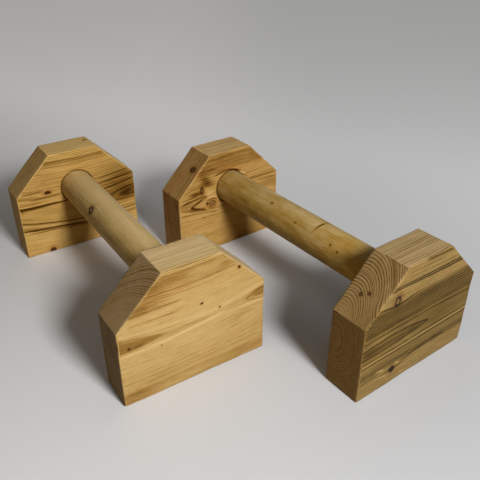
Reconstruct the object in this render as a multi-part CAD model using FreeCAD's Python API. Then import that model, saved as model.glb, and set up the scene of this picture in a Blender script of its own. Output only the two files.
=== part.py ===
import FreeCAD, Part
import math
import os

# A pair of low timber parallette bars. Each bar is a round grip dowel let into two upright end blocks.
# Millimetres. +Z is up, +Y runs along the left bar away from the viewer, +X points to the right bar.
# The origin is on the floor, in the middle of the pair's footprint.

# End block, an offcut of planed plank with its grain across the bar
block_width = 170.0
block_height = 145.0
block_thickness = 45.0
corner_cut = 51.5        # each leg of the 45 degree cut on an upper corner
edge_ease = 2.0          # sanded radius of the outer edges

# Grip dowel
dowel_diameter = 45.0
dowel_axis_height = 92.0
clear_span = 290.0       # between the inner faces of a bar's blocks
dowel_end_ease = 1.5     # chamfer that starts the dowel in its socket

# Blind socket in the block's inner face, and the glue in it
socket_depth = 30.0
mouth_ease = 0.8         # chamfer of the socket's rim
glue_line = 0.3          # thickness of the glue round the dowel and behind it
glue_setback = 4.0       # the glue stops this far inside the rim

# Countersunk wood screw, driven up through the underside into the dowel
head_diameter = 10.0
head_rim = 0.6           # straight edge of the head
shank_diameter = 3.6
crest_diameter = 5.0     # outside of the thread
root_diameter = 3.2
thread_pitch = 2.6
screw_bite = 28.0        # how far the screw goes into the dowel
tip_length = 5.0
thread_lead = 24.0       # thread below the dowel, in the block's clearance hole
head_recess = 7.5        # the head sits this far above the underside
drive_diameter = 4.2     # across the lobes of the drive recess
drive_depth = 2.4
lobe_diameter = 1.2      # the rounded ribs between the lobes
lobe_count = 6

# Room round the screw
hole_clearance = 0.25
head_clearance = 0.5

# How the pair stands
pair_spacing = 187.8     # from bar to bar, across
pair_stagger = 119.2     # the right bar stands this much nearer to the viewer
right_bar_turn = 3.2     # degrees, anticlockwise from above

# Every cut starts this far outside the solid
overrun = 1.0

up = FreeCAD.Vector(0, 0, 1)
along = FreeCAD.Vector(0, 1, 0)
half_width = block_width / 2
half_top = half_width - corner_cut
shoulder_height = block_height - corner_cut
inner_face = clear_span / 2
half_length = inner_face + block_thickness
dowel_radius = dowel_diameter / 2
socket_radius = dowel_radius + glue_line
socket_floor = inner_face + socket_depth
dowel_end = socket_floor - glue_line
screw_place = inner_face + socket_depth / 2
dowel_underside = dowel_axis_height - dowel_radius
head_radius = head_diameter / 2
shank_radius = shank_diameter / 2
crest_radius = crest_diameter / 2
root_radius = root_diameter / 2
hole_radius = crest_radius + hole_clearance
head_cone_height = head_radius - shank_radius    # a 90 degree head
head_seat = head_recess + head_rim
screw_tip = dowel_underside + screw_bite


def bar_cylinder(radius, start, end):
    """A cylinder on the dowel's axis, from one place along the bar to another."""
    base = FreeCAD.Vector(0, start, dowel_axis_height)
    return Part.makeCylinder(radius, end - start, base, along)


def screw_cylinder(radius, bottom, top):
    """A cylinder on the far screw's axis, from one height to another."""
    return Part.makeCylinder(radius, top - bottom, FreeCAD.Vector(0, screw_place, bottom), up)


def head_cone():
    """The conical underside of the screw's head, which is also its seat in the block."""
    base = FreeCAD.Vector(0, screw_place, head_seat)
    return Part.makeCone(head_radius, shank_radius, head_cone_height, base, up)


def drive_recess():
    """The star recess in the head: a round pocket with rounded ribs between its lobes."""
    pocket_radius = drive_diameter / 2
    pocket = screw_cylinder(pocket_radius, head_recess - overrun, head_recess + drive_depth)
    rib = screw_cylinder(lobe_diameter / 2, head_recess - overrun, head_recess + drive_depth)
    rib.translate(FreeCAD.Vector(pocket_radius, 0, 0))
    ribs = []
    for lobe in range(lobe_count):
        turned = rib.copy()
        turned.rotate(FreeCAD.Vector(0, screw_place, 0), up, 360 * lobe / lobe_count)
        ribs.append(turned)
    return pocket.cut(ribs)


def far_screw():
    """The far block's screw, turned from one profile, with the thread as rings."""
    thread_bottom = dowel_underside - thread_lead
    thread_top = screw_tip - tip_length
    rings = max(1, int((thread_top - thread_bottom) / thread_pitch))
    step = (thread_top - thread_bottom) / rings
    profile = [
        (0, head_recess),
        (head_radius, head_recess),
        (head_radius, head_seat),
        (shank_radius, head_seat + head_cone_height),
        (shank_radius, thread_bottom),
        (root_radius, thread_bottom),
    ]
    for ring in range(rings):
        ring_bottom = thread_bottom + ring * step
        profile.append((crest_radius, ring_bottom + step / 2))
        profile.append((root_radius, ring_bottom + step))
    profile.append((0, screw_tip))
    points = [FreeCAD.Vector(radius, screw_place, height) for radius, height in profile]
    face = Part.Face(Part.makePolygon(points + points[:1]))
    screw = face.revolve(FreeCAD.Vector(0, screw_place, 0), up, 360)
    return screw.cut(drive_recess())


def far_block():
    """The far end block: an eased prism with its socket, screw hole and screw recess."""
    outline = [
        (-half_width, 0),
        (half_width, 0),
        (half_width, shoulder_height),
        (half_top, block_height),
        (-half_top, block_height),
        (-half_width, shoulder_height),
    ]
    points = [FreeCAD.Vector(across, inner_face, height) for across, height in outline]
    face = Part.Face(Part.makePolygon(points + points[:1]))
    blank = face.extrude(along * block_thickness)
    block = blank.makeFillet(edge_ease, blank.Edges)
    rim = FreeCAD.Vector(0, inner_face, dowel_axis_height)
    cuts = [
        bar_cylinder(socket_radius, inner_face - overrun, socket_floor),
        Part.makeCone(socket_radius + mouth_ease, socket_radius, mouth_ease, rim, along),
        screw_cylinder(hole_radius, head_seat, dowel_axis_height),
        screw_cylinder(head_radius + head_clearance, -overrun, head_seat),
        head_cone(),
    ]
    return block.cut(cuts)


def far_glue():
    """The glue in the far socket: a thin cup round the dowel's end, open where the screw passes."""
    cup = bar_cylinder(socket_radius, inner_face + glue_setback, socket_floor)
    room = bar_cylinder(dowel_radius, inner_face, dowel_end)
    hole = screw_cylinder(hole_radius, head_seat, dowel_axis_height)
    return cup.cut([room, hole])


def grip_dowel(screws):
    """The grip dowel, with chamfered ends and the holes that its screws have cut."""
    dowel = bar_cylinder(dowel_radius, -dowel_end, dowel_end)
    rims = [edge for edge in dowel.Edges if edge.Closed]
    return dowel.makeChamfer(dowel_end_ease, rims).cut(screws)


def near_copy(shape):
    """The same piece at the bar's near end, turned half a turn about the bar's middle."""
    turned = shape.copy()
    turned.rotate(FreeCAD.Vector(0, 0, 0), up, 180)
    return turned


def bar_pieces():
    """The pieces of one bar, standing in the middle of its own footprint."""
    block = far_block()
    screw = far_screw()
    glue = far_glue()
    return {
        "far_block": block,
        "near_block": near_copy(block),
        "far_glue": glue,
        "near_glue": near_copy(glue),
        "far_screw": screw,
        "near_screw": near_copy(screw),
        "grip_dowel": grip_dowel([screw, near_copy(screw)]),
    }


def footprint_reach(turn):
    """How far a turned bar reaches from its middle, along X and along Y, with its corners eased."""
    cosine = math.cos(math.radians(turn))
    sine = abs(math.sin(math.radians(turn)))
    wide = half_width - edge_ease
    long = half_length - edge_ease
    return wide * cosine + long * sine + edge_ease, long * cosine + wide * sine + edge_ease


def bar_places():
    """Each bar's middle and turn, with the origin in the middle of the pair's footprint."""
    stands = {"left_bar": (0, 0, 0), "right_bar": (pair_spacing, -pair_stagger, right_bar_turn)}
    lows = []
    highs = []
    for x, y, turn in stands.values():
        reach_x, reach_y = footprint_reach(turn)
        lows.append((x - reach_x, y - reach_y))
        highs.append((x + reach_x, y + reach_y))
    middle_x = (min(low[0] for low in lows) + max(high[0] for high in highs)) / 2
    middle_y = (min(low[1] for low in lows) + max(high[1] for high in highs)) / 2
    places = {}
    for bar, (x, y, turn) in stands.items():
        middle = FreeCAD.Vector(x - middle_x, y - middle_y, 0)
        places[bar] = FreeCAD.Placement(middle, FreeCAD.Rotation(up, turn))
    return places


os.makedirs("parts", exist_ok=True)
pieces = bar_pieces()
for bar, place in bar_places().items():
    print(bar, "stands at", place.Base, "turned", math.degrees(place.Rotation.Angle))
    for name, shape in pieces.items():
        placed = shape.copy()
        placed.Placement = place.multiply(placed.Placement)
        placed.exportStep("parts/" + bar + "_" + name + ".step")
        print(bar + "_" + name, placed.ShapeType, len(placed.Solids), round(placed.Volume, 1), placed.isValid())
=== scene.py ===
import math
from types import SimpleNamespace
import bpy
import numpy as np
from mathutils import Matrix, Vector


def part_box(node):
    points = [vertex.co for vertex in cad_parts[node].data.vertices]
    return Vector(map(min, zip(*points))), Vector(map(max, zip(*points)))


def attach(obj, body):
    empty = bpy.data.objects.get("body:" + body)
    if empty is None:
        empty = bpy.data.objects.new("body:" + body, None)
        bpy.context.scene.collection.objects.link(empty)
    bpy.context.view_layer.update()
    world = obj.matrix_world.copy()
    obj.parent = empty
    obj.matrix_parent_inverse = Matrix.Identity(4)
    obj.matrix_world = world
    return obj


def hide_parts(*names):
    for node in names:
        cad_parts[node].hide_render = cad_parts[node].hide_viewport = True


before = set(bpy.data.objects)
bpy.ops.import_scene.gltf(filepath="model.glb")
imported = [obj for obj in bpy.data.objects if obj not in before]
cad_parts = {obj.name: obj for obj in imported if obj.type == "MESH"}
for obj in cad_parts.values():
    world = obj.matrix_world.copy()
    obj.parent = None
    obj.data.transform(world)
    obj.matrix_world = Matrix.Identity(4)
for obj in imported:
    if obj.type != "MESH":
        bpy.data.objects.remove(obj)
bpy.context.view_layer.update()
mm = 0.001  # lengths below are in millimetres unless a note says otherwise
tiny = 1e-6  # a distance that counts as none

# Where the two bars stand, from the frame
bars = {"left_bar": {"turn": 0.0}, "right_bar": {"turn": 3.2}}  # degrees, anticlockwise from above
for bar, place in bars.items():
    low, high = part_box(bar + "_grip_dowel")
    place["middle"] = (low + high) / 2 / mm
    place["cos"] = math.cos(math.radians(place["turn"]))
    place["sin"] = math.sin(math.radians(place["turn"]))
blockLow, blockHigh = (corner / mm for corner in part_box("left_bar_far_block"))
blockSize = blockHigh - blockLow
barMiddle = bars["left_bar"]["middle"]
innerFace = blockLow.y - barMiddle.y  # from the bar's middle to the block's inner face
dowelLow, dowelHigh = (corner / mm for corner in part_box("left_bar_grip_dowel"))
dowelRadius = (dowelHigh.x - dowelLow.x) / 2
dowelHalf = (dowelHigh.y - dowelLow.y) / 2
print("frame loaded:", len(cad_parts), "nodes, block", [round(side, 2) for side in blockSize])


# Meshes

leastSteps = 3  # the fewest steps along a side
sharpAngle = 40  # degrees, edges that turn more than this are shaded sharp


def inRow(bar, points):  # a bar's own millimetres to the frame: turned about Z, moved to its middle
    place = bars[bar]
    x = points[..., 0] * place["cos"] - points[..., 1] * place["sin"] + place["middle"].x
    y = points[..., 0] * place["sin"] + points[..., 1] * place["cos"] + place["middle"].y
    return np.stack([x, y, points[..., 2]], -1) * mm


def gathered(first, last, step, share):  # places from first to last, gathered towards both ends by a sine
    count = max(leastSteps, round(abs(last - first) / step))
    t = np.linspace(0, 1, count + 1)
    return first + (last - first) * (t - share * np.sin(2 * math.pi * t) / (2 * math.pi))


def closedGrid(rows):  # quads between neighbouring rings, and a fan from each end ring to a middle point
    count, around = rows.shape[:2]
    points = np.concatenate([rows.reshape(-1, 3), rows[0].mean(0)[None], rows[-1].mean(0)[None]])
    ring, step = np.meshgrid(np.arange(count - 1), np.arange(around), indexing="ij")
    after = (step + 1) % around
    quads = np.stack([ring * around + step, ring * around + after,
                      (ring + 1) * around + after, (ring + 1) * around + step], -1).reshape(-1, 4)
    step = np.arange(around)
    after = (step + 1) % around
    first, last = count * around, count * around + 1
    start = np.stack([np.full(around, first), after, step], -1)
    end = np.stack([np.full(around, last), last - 1 - around + step, last - 1 - around + after], -1)
    fans = np.concatenate([start, end])
    corners = points[quads]
    turned = np.cross(corners[:, 2] - corners[:, 0], corners[:, 3] - corners[:, 1])
    if (turned * (corners.mean(1) - points.mean(0))).sum() < 0:  # faces point outwards
        quads = quads[:, ::-1]
        fans = fans[:, ::-1]
    return points, quads.tolist() + fans.tolist()


def addObject(name, content):
    piece = bpy.data.objects.new(name, content)
    bpy.context.scene.collection.objects.link(piece)
    return piece


def addPiece(name, bar, rows, material):
    points, faces = closedGrid(inRow(bar, rows))
    mesh = bpy.data.meshes.new(name)
    mesh.from_pydata(points, [], faces)
    mesh.shade_smooth()
    mesh.set_sharp_from_angle(angle=math.radians(sharpAngle))
    mesh.materials.append(material)
    piece = addObject(name, mesh)
    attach(piece, bar)
    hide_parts(bar + "_" + name.split("_", 2)[2])
    print(name, len(mesh.vertices), "points,", len(mesh.polygons), "faces")


# End blocks

blockShape = {
    "cornerCut": 51.5,
    "easeLeast": 1.3, "easeMost": 2.6,  # radius of the sanded edges, which wanders between the two
    "wander": ((0.28, (0.061, 0.12, 0.083), 1), (0.22, (-0.13, 0.2, 0.17), 3)),  # swing, rad per mm, seeds
    "step": 1.15, "gather": 0.62, "inwardGather": 0.4,  # spacing of the points, and how they gather at edges
    "innerStep": 0.0205, "innerGather": 0.55,  # rings on the inner face, as shares of the way out
    "outerStep": 0.0165, "outerGather": 0.5, "outerHub": 0.01,  # and on the outer face, back to a small hub
    "socketRadius": 22.8, "socketDepth": 30.0, "floorRings": 6, "floorHub": 0.02, "wallRings": 8,
    "wallTop": 1.6, "mouthEase": 0.9, "mouthWander": 0.45, "mouthRings": 4,
    "screwFromFace": 15.0, "recessRadius": 5.5, "recessWall": 0.05, "recessDepth": 8.1, "recessReach": 13.0,
    "recessPoints": 9,
}


def outlineCorners(shrink):  # six corners, anticlockwise from the lower left, every side in by shrink
    half = blockSize.x / 2
    slant = shrink * math.tan(math.pi / 8)  # a 45 degree corner moves along its side by this much
    side = half - shrink
    top = half - blockShape["cornerCut"] - slant
    shoulder = blockSize.z - blockShape["cornerCut"] - slant
    roof = blockSize.z - shrink
    return np.array([(-side, shrink), (side, shrink), (side, shoulder),
                     (top, roof), (-top, roof), (-side, shoulder)])


def eased(points, radius):  # nearest point of the prism shrunk by the radius, then out again by the radius
    flat = points[..., [0, 2]]
    corners = outlineCorners(radius)
    inside = np.ones(flat.shape[:-1], bool)
    least = np.full(flat.shape[:-1], np.inf)
    nearest = flat.copy()
    for start, end in zip(corners, np.roll(corners, -1, 0)):
        side = end - start
        away = flat - start
        inside &= side[0] * away[..., 1] - side[1] * away[..., 0] >= 0
        share = np.clip(away @ side / (side @ side), 0, 1)
        onSide = start + share[..., None] * side
        gap = np.linalg.norm(flat - onSide, axis=-1)
        nearest = np.where((gap < least)[..., None], onSide, nearest)
        least = np.minimum(least, gap)
    flat = np.where(inside[..., None], flat, nearest)
    depth = np.clip(points[..., 1], radius, blockSize.y - radius)
    core = np.stack([flat[..., 0], depth, flat[..., 1]], -1)
    away = points - core
    far = np.linalg.norm(away, axis=-1, keepdims=True)
    return np.where(far > tiny, core + away / np.maximum(far, tiny) * radius, points)


def blockSpokes():  # unit directions from the dowel's axis to points round the outline, and how far each is
    shape = blockShape
    half = blockSize.x / 2
    recess = shape["recessRadius"]
    inner = recess - shape["recessWall"]
    across = np.concatenate([gathered(-half, -recess, shape["step"], shape["gather"]),
                             np.linspace(-inner, inner, shape["recessPoints"]),
                             gathered(recess, half, shape["step"], shape["gather"])])[:-1]
    corners = outlineCorners(0)
    sides = [np.stack([across, np.zeros_like(across)], -1)]
    for start, end in zip(corners[1:], np.roll(corners, -1, 0)[1:]):
        places = gathered(0, 1, shape["step"] / np.linalg.norm(end - start), shape["gather"])[:-1]
        sides.append(start + places[:, None] * (end - start))
    spokes = np.concatenate(sides) - [0, barMiddle.z]
    reach = np.linalg.norm(spokes, axis=1)
    return spokes / reach[:, None], reach


def blockRings(spokes, reach, seed):  # each ring's radius and depth, from socket floor to outer face
    shape = blockShape
    angle = np.arctan2(spokes[:, 1], spokes[:, 0])
    mouth = np.sin(2 * angle + seed) * np.sin(5 * angle + 2 * seed)  # its easing wanders in a few waves
    mouth = shape["mouthEase"] * (1 + shape["mouthWander"] * mouth)
    whole = np.ones_like(reach)
    socket = shape["socketRadius"] * whole
    rings = [(socket * share, shape["socketDepth"] * whole)
             for share in np.linspace(shape["floorHub"], 1, shape["floorRings"])]
    for depth in np.linspace(shape["socketDepth"], shape["wallTop"], shape["wallRings"])[1:]:
        rings.append((socket, depth * whole))
    for turn in np.linspace(0, math.pi / 2, shape["mouthRings"]):
        rings.append((socket + mouth * (1 - math.cos(turn)), mouth * (1 - math.sin(turn))))
    rim = rings[-1][0]
    for share in gathered(0, 1, shape["innerStep"], shape["innerGather"])[1:]:
        rings.append((rim + (reach - rim) * share, 0 * whole))
    hole, recess = shape["screwFromFace"], shape["recessRadius"]
    inner = recess - shape["recessWall"]
    levels = [gathered(0, hole - recess, shape["step"], shape["inwardGather"]),
              np.linspace(hole - inner, hole + inner, shape["recessPoints"]),
              gathered(hole + recess, blockSize.y, shape["step"], shape["gather"])]
    for depth in np.concatenate(levels)[1:]:
        rings.append((reach, depth * whole))
    for share in gathered(1, shape["outerHub"], shape["outerStep"], shape["outerGather"])[1:]:
        rings.append((reach * share, blockSize.y * whole))
    radii, depths = np.array(rings).transpose(1, 0, 2)
    return radii, depths, rim


def blockRows(seed):  # rings up the socket, over inner face, sides and outer face, edges sanded
    shape = blockShape
    spokes, reach = blockSpokes()
    radii, depths, rim = blockRings(spokes, reach, seed)
    height = radii * spokes[:, 1] + barMiddle.z
    points = np.stack([radii * spokes[:, 0], depths, height], -1)
    outside = np.abs(radii - reach) < tiny
    outside |= depths <= 0
    outside |= depths >= blockSize.y
    outside &= radii > rim + tiny
    wander = 0.5  # midway between the least and the most easing
    for swing, waves, seeds in shape["wander"]:
        wander = wander + swing * np.sin(points @ waves + seeds * seed)
    wander = wander[..., None]
    soft = eased(points, shape["easeLeast"]) * (1 - wander) + eased(points, shape["easeMost"]) * wander
    points = np.where(outside[..., None], soft, points)

    # the screw's recess: a square patch of the underside drawn into a circle and pushed up
    hole, recess = shape["screwFromFace"], shape["recessRadius"]
    under = outside & (np.abs(height) < tiny)
    offX = points[..., 0]
    offY = points[..., 1] - hole
    square = np.maximum(np.abs(offX), np.abs(offY))
    circle = np.maximum(np.hypot(offX, offY), tiny)
    fade = np.clip((shape["recessReach"] - square) / (shape["recessReach"] - recess), 0, 1)
    draw = np.where(under, 1 + (square / circle - 1) * fade, 1)
    pushed = under & (square < recess - shape["recessWall"] / 2)
    points[..., 0] = offX * draw
    points[..., 1] = offY * draw + hole
    points[..., 2] = np.where(pushed, shape["recessDepth"], points[..., 2])
    return points


def blockInBar(rows, end):  # beyond the inner face, turned half a turn for the near block
    rows = rows + [0, innerFace, 0]
    return rows * [end, end, 1]


# Grip dowels

dowelShape = {
    "endEase": 1.5, "around": 200, "step": 1.3, "faceRings": 8, "faceHub": 0.02,
    "flat": 0.06, "flatTwist": 0.011, "flatWave": 0.023,  # out of round, and radians per mm along it
}


def dowelRows(seed):  # a round profile carried along the bar, chamfered at both ends, a hair out of round
    shape = dowelShape
    turn = np.linspace(0, 2 * math.pi, shape["around"], endpoint=False)
    bodyHalf = dowelHalf - shape["endEase"]
    body = np.linspace(-bodyHalf, bodyHalf, round(2 * dowelHalf / shape["step"]))
    face = np.linspace(shape["faceHub"], 1, shape["faceRings"]) * (dowelRadius - shape["endEase"])
    along = np.concatenate([np.full(len(face), -dowelHalf), body, np.full(len(face), dowelHalf)])
    radius = np.concatenate([face, np.full(len(body), dowelRadius), face[::-1]])
    grid = along[:, None] + 0 * turn
    hair = np.sin(2 * turn + seed + grid * shape["flatTwist"]) * np.sin(grid * shape["flatWave"] + seed) - 1
    radius = radius[:, None] * np.ones_like(turn) + shape["flat"] * hair
    return np.stack([radius * np.sin(turn), grid, barMiddle.z + radius * np.cos(turn)], -1)


# Node trees: a value that can be added and multiplied like a number

class Signal:
    def __init__(self, tree, socket):
        self.tree = tree
        self.socket = socket

    def math(self, operation, *others):
        return nodeMath(self.tree, operation, self, *others)

    def __add__(self, other):
        return self.math("ADD", other)

    def __sub__(self, other):
        return self.math("SUBTRACT", other)

    def __rsub__(self, other):
        return nodeMath(self.tree, "SUBTRACT", other, self)

    def __mul__(self, other):
        return self.math("MULTIPLY", other)

    __rmul__ = __mul__

    def __truediv__(self, other):
        return self.math("DIVIDE", other)

    def squared(self):
        return self.math("MULTIPLY", self)

    def root(self):
        return self.math("SQRT")

    def rise(self, start, end):  # 0 before start, 1 after end, smooth between
        node = self.tree.nodes.new("ShaderNodeMapRange")
        node.interpolation_type = "SMOOTHSTEP"
        link(self.tree, self, node.inputs["Value"])
        node.inputs["From Min"].default_value = start
        node.inputs["From Max"].default_value = end
        return Signal(self.tree, node.outputs["Result"])

    def bell(self, width):  # 1 at zero, falling off as a bell of this width
        return nodeMath(self.tree, "EXPONENT", self.squared() * (-1 / width ** 2))


nodeLook = {
    "lineFade": (0.86, 1.0),  # where in its step a dark line ends
    "bumpStrength": 0.35,
    "curveOffset": 0.055, "curvePower": 2.4, "curveSlope": 12.92, "curveStraight": 10,  # the sRGB curve
}


def link(tree, value, socket):
    if isinstance(value, Signal):
        tree.links.new(value.socket, socket)
    else:
        socket.default_value = value


def nodeMath(tree, operation, *values):
    node = tree.nodes.new("ShaderNodeMath")
    node.operation = operation
    for value, socket in zip(values, node.inputs):
        link(tree, value, socket)
    return Signal(tree, node.outputs[0])


def noise(tree, place, detail=2.0, roughness=0.5, distortion=0.0):  # about 0, mostly within half a unit
    joined = tree.nodes.new("ShaderNodeCombineXYZ")
    for value, socket in zip(place, joined.inputs):
        link(tree, value, socket)
    node = tree.nodes.new("ShaderNodeTexNoise")
    tree.links.new(joined.outputs[0], node.inputs["Vector"])
    facts = {"Scale": 1, "Detail": detail, "Roughness": roughness, "Distortion": distortion}
    for name, value in facts.items():
        node.inputs[name].default_value = value
    return Signal(tree, node.outputs["Fac"]) - 0.5


def parts(tree, vector):  # the three parts of a vector
    node = tree.nodes.new("ShaderNodeSeparateXYZ")
    tree.links.new(vector, node.inputs[0])
    return [Signal(tree, socket) for socket in node.outputs]


def darkLines(tree, count, edges, least, seed):  # a soft line per whole number, each of its own strength
    phase = count.math("FRACT")
    chance = tree.nodes.new("ShaderNodeTexWhiteNoise")
    chance.noise_dimensions = "1D"
    link(tree, count.math("FLOOR") + seed, chance.inputs["W"])
    strength = Signal(tree, chance.outputs["Value"]) * (1 - least) + least
    return phase.rise(*edges) * (1 - phase.rise(*nodeLook["lineFade"])) * strength


def ramp(tree, value, stops):  # straight lines between (place, grey or colour) stops
    node = tree.nodes.new("ShaderNodeValToRGB")
    link(tree, value, node.inputs["Fac"])
    elements = node.color_ramp.elements
    while len(elements) < len(stops):
        elements.new(1)
    for element, (place, colour) in zip(elements, sorted(stops)):
        element.position = place
        element.color = (colour, colour, colour, 1) if isinstance(colour, float) else (*colour, 1)
    return Signal(tree, node.outputs["Color"])


def mixed(tree, amount, first, second, blend="MIX"):  # the second colour laid over the first by the amount
    node = tree.nodes.new("ShaderNodeMix")
    node.data_type = "RGBA"
    node.blend_type = blend
    link(tree, amount, node.inputs[0])
    for value, socket in ((first, node.inputs[6]), (second, node.inputs[7])):
        link(tree, value if isinstance(value, Signal) else (*value, 1), socket)
    return Signal(tree, node.outputs[2])


def shade(*levels):  # screen levels of 0 to 255 made linear, by a power above the curve's straight part
    offset = nodeLook["curveOffset"]
    straight = nodeLook["curveStraight"]
    return tuple(((level / 255 + offset) / (1 + offset)) ** nodeLook["curvePower"] if level > straight
                 else level / 255 / nodeLook["curveSlope"] for level in levels)


def newTree(name):
    material = bpy.data.materials.new(name)
    material.use_nodes = True
    return material, material.node_tree


def dress(tree, inputs):  # sets or links the named inputs of the tree's shader
    for name, value in inputs.items():
        link(tree, value, tree.nodes["Principled BSDF"].inputs[name])


def objectPlace(tree, bar, start):  # millimetres across, along from start and up; normal across and up
    source = tree.nodes.new("ShaderNodeTexCoord")
    mapping = tree.nodes.new("ShaderNodeMapping")
    mapping.vector_type = "TEXTURE"
    place = bars[bar]
    mapping.inputs["Location"].default_value = ((place["middle"].x - start * place["sin"]) * mm,
                                                (place["middle"].y + start * place["cos"]) * mm, 0)
    mapping.inputs["Rotation"].default_value = (0, 0, math.radians(place["turn"]))
    mapping.inputs["Scale"].default_value = (mm, mm, mm)
    tree.links.new(source.outputs["Object"], mapping.inputs["Vector"])
    facing = tree.nodes.new("ShaderNodeVectorMath")
    facing.operation = "DOT_PRODUCT"
    facing.inputs[1].default_value = (place["cos"], place["sin"], 0)
    tree.links.new(source.outputs["Normal"], facing.inputs[0])
    sideways = Signal(tree, facing.outputs["Value"]).math("ABSOLUTE")
    upward = parts(tree, source.outputs["Normal"])[2]
    return parts(tree, mapping.outputs[0]) + [sideways, upward]


def frameMillimetres(tree):  # Object coordinates in millimetres, the same as the frame's
    source = tree.nodes.new("ShaderNodeTexCoord")
    return [along / mm for along in parts(tree, source.outputs["Object"])]


def raised(tree, height, distance):  # the normal, bumped by a height times this many millimetres
    bump = tree.nodes.new("ShaderNodeBump")
    bump.inputs["Strength"].default_value = nodeLook["bumpStrength"]
    bump.inputs["Distance"].default_value = distance * mm
    tree.links.new(height.socket, bump.inputs["Height"])
    return Signal(tree, bump.outputs["Normal"])


# Timber: growth rings round a pith line, seen where the faces cut them
# On a board u runs along the grain, d goes in from its front face and z up. Tones run from 0, dark, to 1.

grainFields = {  # cycles per mm on three axes, the axis that the seed moves, detail, roughness, distortion
    "ripple": ((0.05, 0.05, 0.07), 0, 2),
    "swayDeep": ((0.013, 0.02, 0.02), 0, 1),
    "swayUp": ((0.016, 0.022, 0.03), 1, 1),
    "knotEdge": ((0.4, 0.4, 0.4), 2, 3, 0.7),
    "ringStray": ((0.17, 0.0, 0.0), 0, 1),
    "lively": ((0.02, 0.12, 0.12), 1, 2),
    "topLine": ((0.01, 0.15, 0.0), 0, 2),
    "endLine": ((0.0, 0.1, 0.06), 1, 2),
    "fibre": ((0.03, 0.45, 0.45), 1, 4, 0.64, 0.6),
    "hair": ((0.12, 1.1, 1.1), 2, 2, 0.6, 0.8),
    "mottle": ((0.03, 0.07, 0.08), 0, 2),
    "streak": ((0.014, 0.4, 0.4), 0, 1),
    "topStripe": ((0.008, 0.22, 0.0), 0, 2),
    "drift": ((0.016, 0.05, 0.045), 0, 2),
    "pores": ((0.8, 1.6, 1.6), 2, 2, 0.7),
}
surfaces = {  # how far a normal lies along the grain, or points up, where one surface becomes the next
    "endGrain": (0.25, 0.9), "endRings": (0.5, 0.52), "arrisFrom": (0.1, 0.3), "arrisTo": (0.42, 0.66),
    "slope": (0.3, 0.65), "top": (0.75, 0.98), "ridgeFrom": (0.2, 0.4), "ridgeTo": (0.7, 0.95),
    "faceDepth": (3, 12),  # millimetres in from the front face over which what is drawn on it fades
    "bleachedFrom": (20, 40),  # and along the grain to the cut corner made paler by a painted reflection
}


def grainNoise(spot, name, place, shift=0):  # the named noise, moved along one axis by the board's seed
    scales, moved, *fineness = grainFields[name]
    spread = [along * scale for along, scale in zip(place, scales)]
    spread[moved] = spread[moved] + (spot.board["seed"] + shift)
    return noise(spot.tree, spread, *fineness)


def ringRadius(board, u, d, z):  # distance from the pith line, which leans and bows along the grain
    offset = u - board["bowCentre"]
    bent = offset * offset if isinstance(offset, float) else offset.squared()
    deep = d - (bent * board["depthBow"] + u * board["depthLean"] + board["pithDepth"])
    up = z - (bent * board["heightBow"] + u * board["heightLean"] + board["pithHeight"])
    deep = deep * board["oval"]  # oval rings are drawn out in depth
    if isinstance(u, float):
        return math.hypot(deep, up), deep, up
    return (deep.squared() + up.squared()).root(), deep, up


def boardSpot(tree, board, bar, start, dowel):  # where a point lies on a board, and on which surface
    x, y, z, endGrain, upward = objectPlace(tree, bar, start)
    spot = SimpleNamespace(tree=tree, board=board, dowel=dowel, endGrain=endGrain, upward=upward)
    spot.u, spot.d = (y, x) if dowel else (x, y)
    spot.slope = upward.rise(*surfaces["slope"])
    if dowel:  # heights run on the arc from the top line, with no end grain in sight
        spot.z = z - barMiddle.z
        spot.height = nodeMath(tree, "ARCTAN2", spot.d, spot.z) * dowelRadius
        spot.onFace = 1.0
        spot.cut = spot.onTop = spot.arris = spot.bleached = 0.0
    else:
        spot.z = spot.height = z
        spot.cut = endGrain.rise(*surfaces["endGrain"])
        spot.onFace = (1 - spot.d.rise(*surfaces["faceDepth"])) * (1 - spot.cut)
        spot.onTop = upward.rise(*surfaces["top"])
        spot.arris = endGrain.rise(*surfaces["arrisFrom"]) * (1 - endGrain.rise(*surfaces["arrisTo"]))
        # a painted reflection makes the right cut corner paler
        spot.bleached = spot.u.rise(*surfaces["bleachedFrom"]) * spot.slope * spot.cut * board["rightPaintedReflection"]
    spot.place = (spot.u, spot.d, spot.z)
    spot.ripple = grainNoise(spot, "ripple", spot.place) * board["ripple"]
    swayDeep = grainNoise(spot, "swayDeep", spot.place) * board["swayDeep"]
    spot.swayUp = grainNoise(spot, "swayUp", spot.place) * board["swayUp"] + spot.ripple
    spot.radius, deep, up = ringRadius(board, spot.u, spot.d + swayDeep, spot.z + spot.swayUp)
    spot.fromPith = (spot.u, deep, up)
    return spot


knotLook = {
    "reach": 1.9, "pullLong": 2.7, "pullDepth": (6, 14),  # how far rings part: out, along, in depth
    "heartEdge": (0.35, 0.62), "bark": (0.82, 1.08), "barkShare": 0.94, "halo": (0.9, 2.4), "haloShare": 0.55,
}


def offAxis(off, axis, long):  # squared distance from a knot's axis, the grain direction shortened by long
    axis = Vector((axis.x / long, axis.y, axis.z)).normalized()
    du, dd, dz = off[0] / long, off[1], off[2]
    inLine = du * axis.x + dd * axis.y + dz * axis.z
    return nodeMath(du.tree, "MAXIMUM", du.squared() + dd.squared() + dz.squared() - inLine.squared(), 0)


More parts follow.
